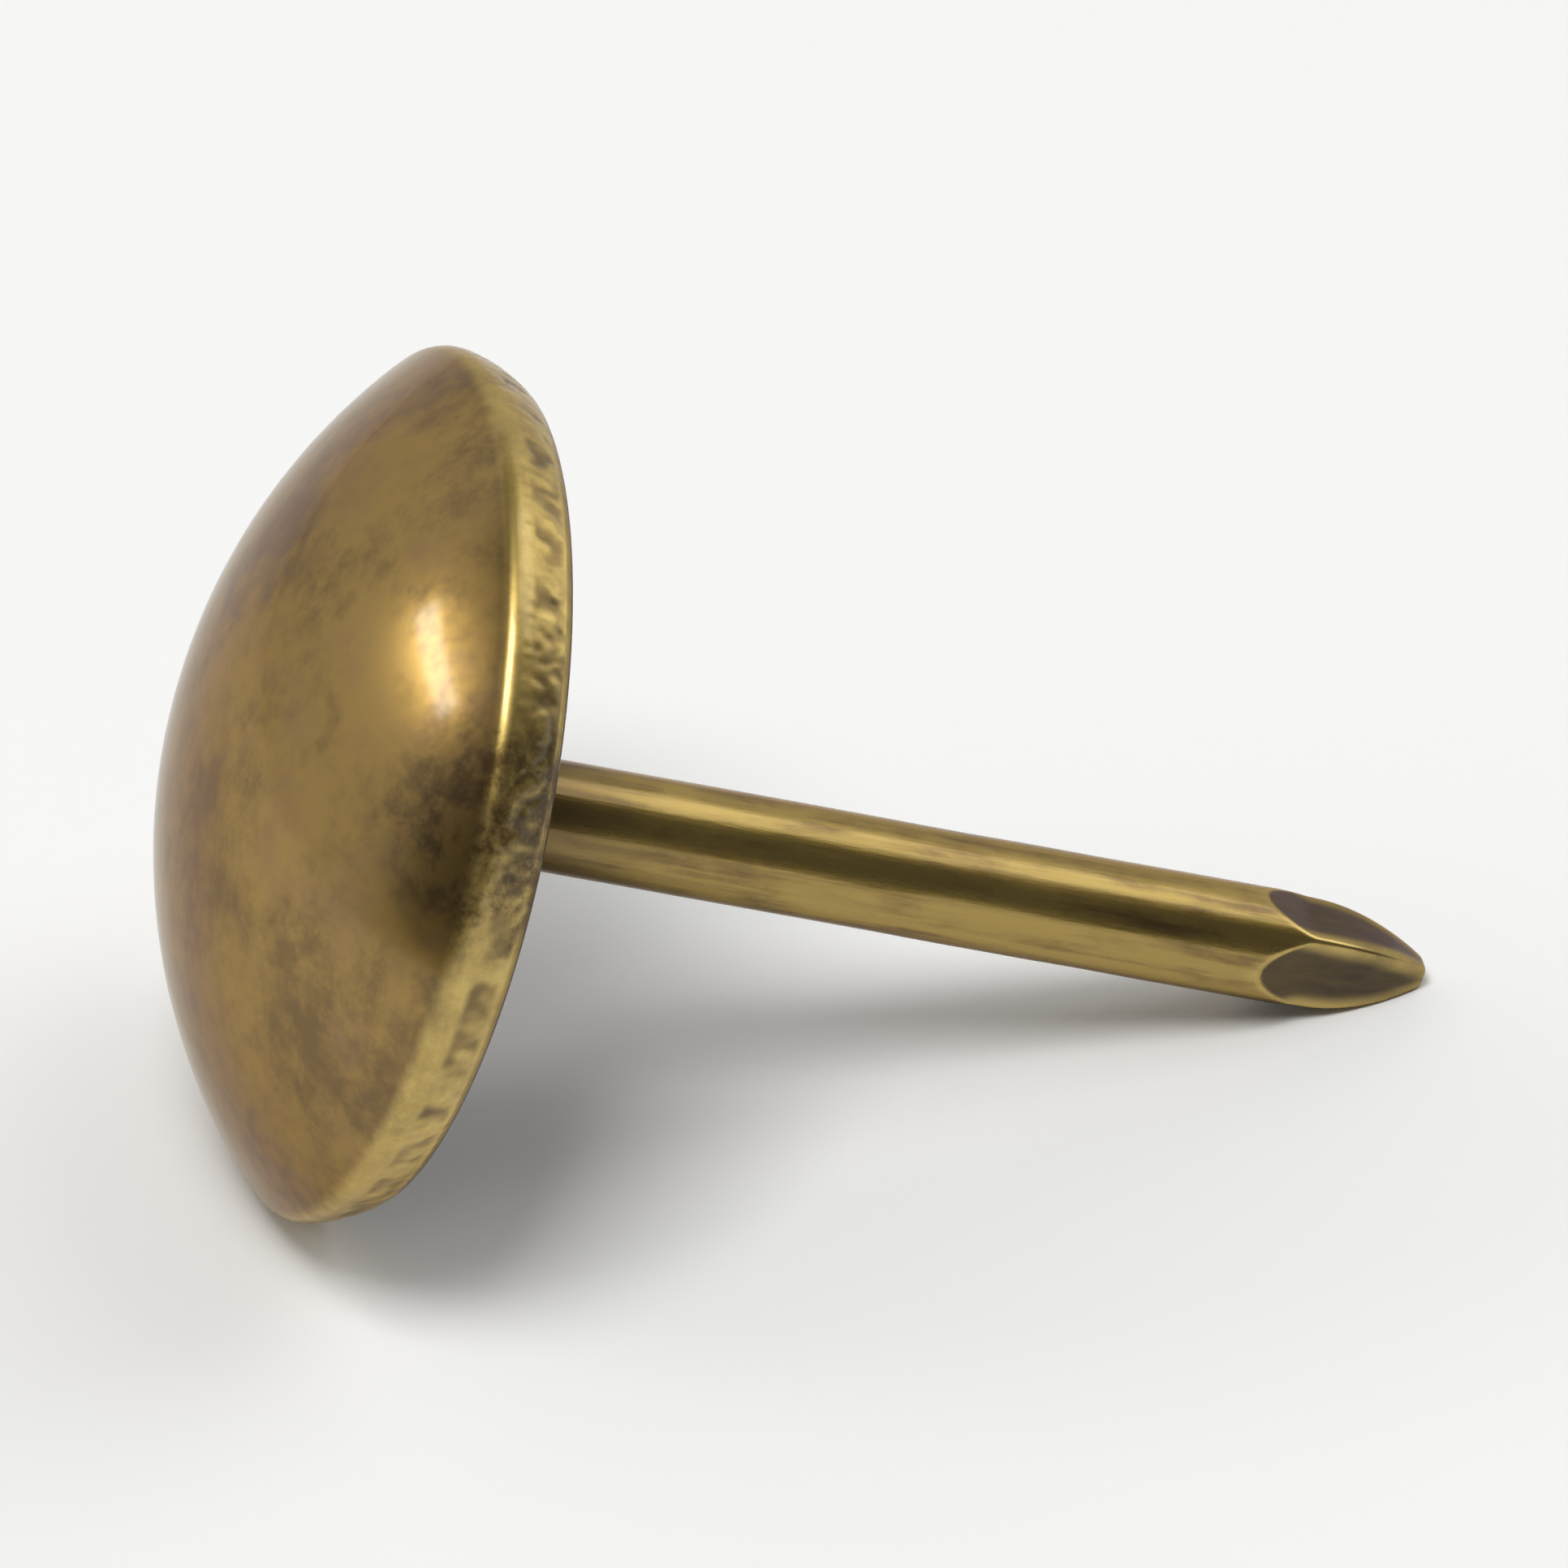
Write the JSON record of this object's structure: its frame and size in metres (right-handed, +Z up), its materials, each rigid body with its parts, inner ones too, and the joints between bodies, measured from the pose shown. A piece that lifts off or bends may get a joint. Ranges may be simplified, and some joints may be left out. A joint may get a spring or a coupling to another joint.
{
  "type": "upholstery tack",
  "caption": "Domed upholstery tack: low round head with a drafted rim band and dished underside, round shank and faceted diamond point.",
  "frame": {"origin": "centre of the footprint of the lying tack, on the ground", "axes": "+X along the ground from the head towards the point, +Z up; the tack's own axis runs down to the ground at the point"},
  "size_m": [0.0158, 0.011, 0.0103],
  "materials": {
    "antique_brass": "antique brass: brass plate blackened, then relieved to bright metal on the edges"
  },
  "bodies": {
    "root": {"tack": "antique_brass"}
  },
  "joints": []
}
